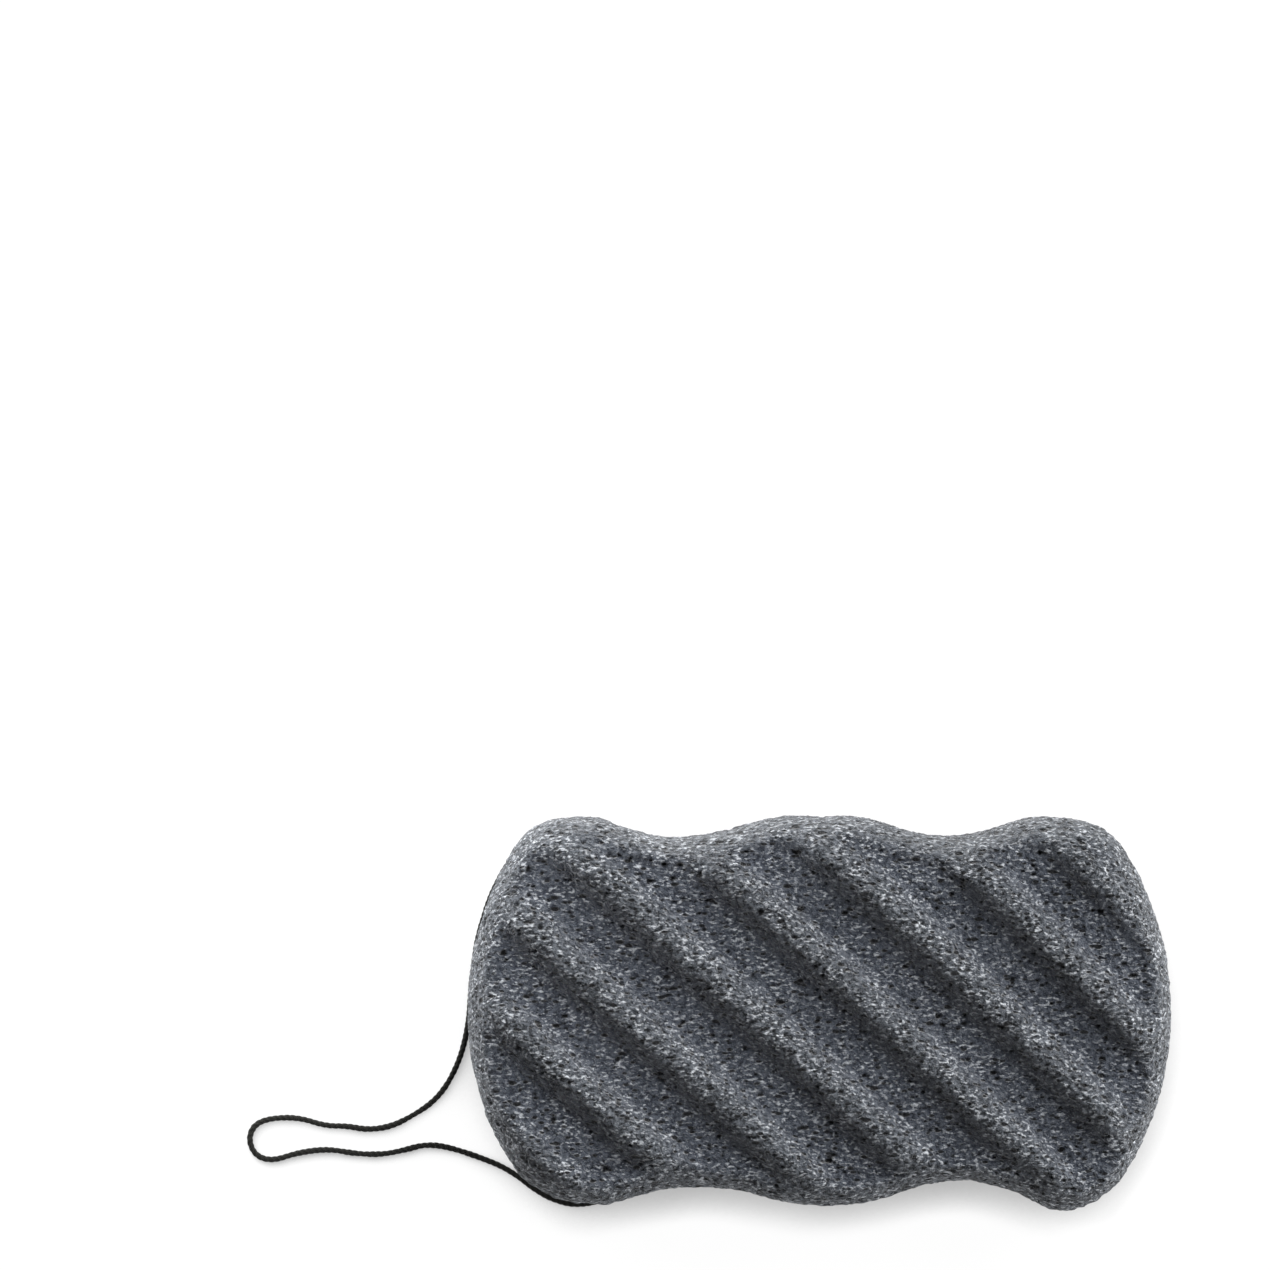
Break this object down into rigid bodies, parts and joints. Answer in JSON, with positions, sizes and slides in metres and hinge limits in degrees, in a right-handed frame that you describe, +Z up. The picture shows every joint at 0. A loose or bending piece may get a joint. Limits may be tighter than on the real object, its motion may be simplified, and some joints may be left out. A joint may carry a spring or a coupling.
{
  "type": "konjac sponge",
  "caption": "Oblong konjac washing sponge with a scalloped outline, diagonal massage waves on its front face and a thin string loop through one end for hanging up.",
  "frame": {"origin": "centre of the flat back face that the sponge lies on", "axes": "+X along the sponge's length, away from the string's loop; +Y across its width; +Z up out of the waved front face"},
  "size_m": [0.172, 0.074, 0.032],
  "materials": {
    "konjac_foam": "matt dark grey open-cell foam",
    "cotton_string": "matt black twisted cotton"
  },
  "bodies": {
    "sponge": {"sponge_body": "konjac_foam", "threaded_cord": "cotton_string", "foot_strand": "cotton_string", "shoulder_strand": "cotton_string", "cord_knot": "cotton_string"},
    "loop": {"hanging_loop": "cotton_string"}
  },
  "joints": [
    {"name": "loop_lift", "type": "hinge", "parent": "sponge", "child": "loop", "pos_m": [-0.067, -0.0273, 0.00055], "axis": [-0.1708, 0.9853, 0], "range_deg": [0, 100]}
  ]
}
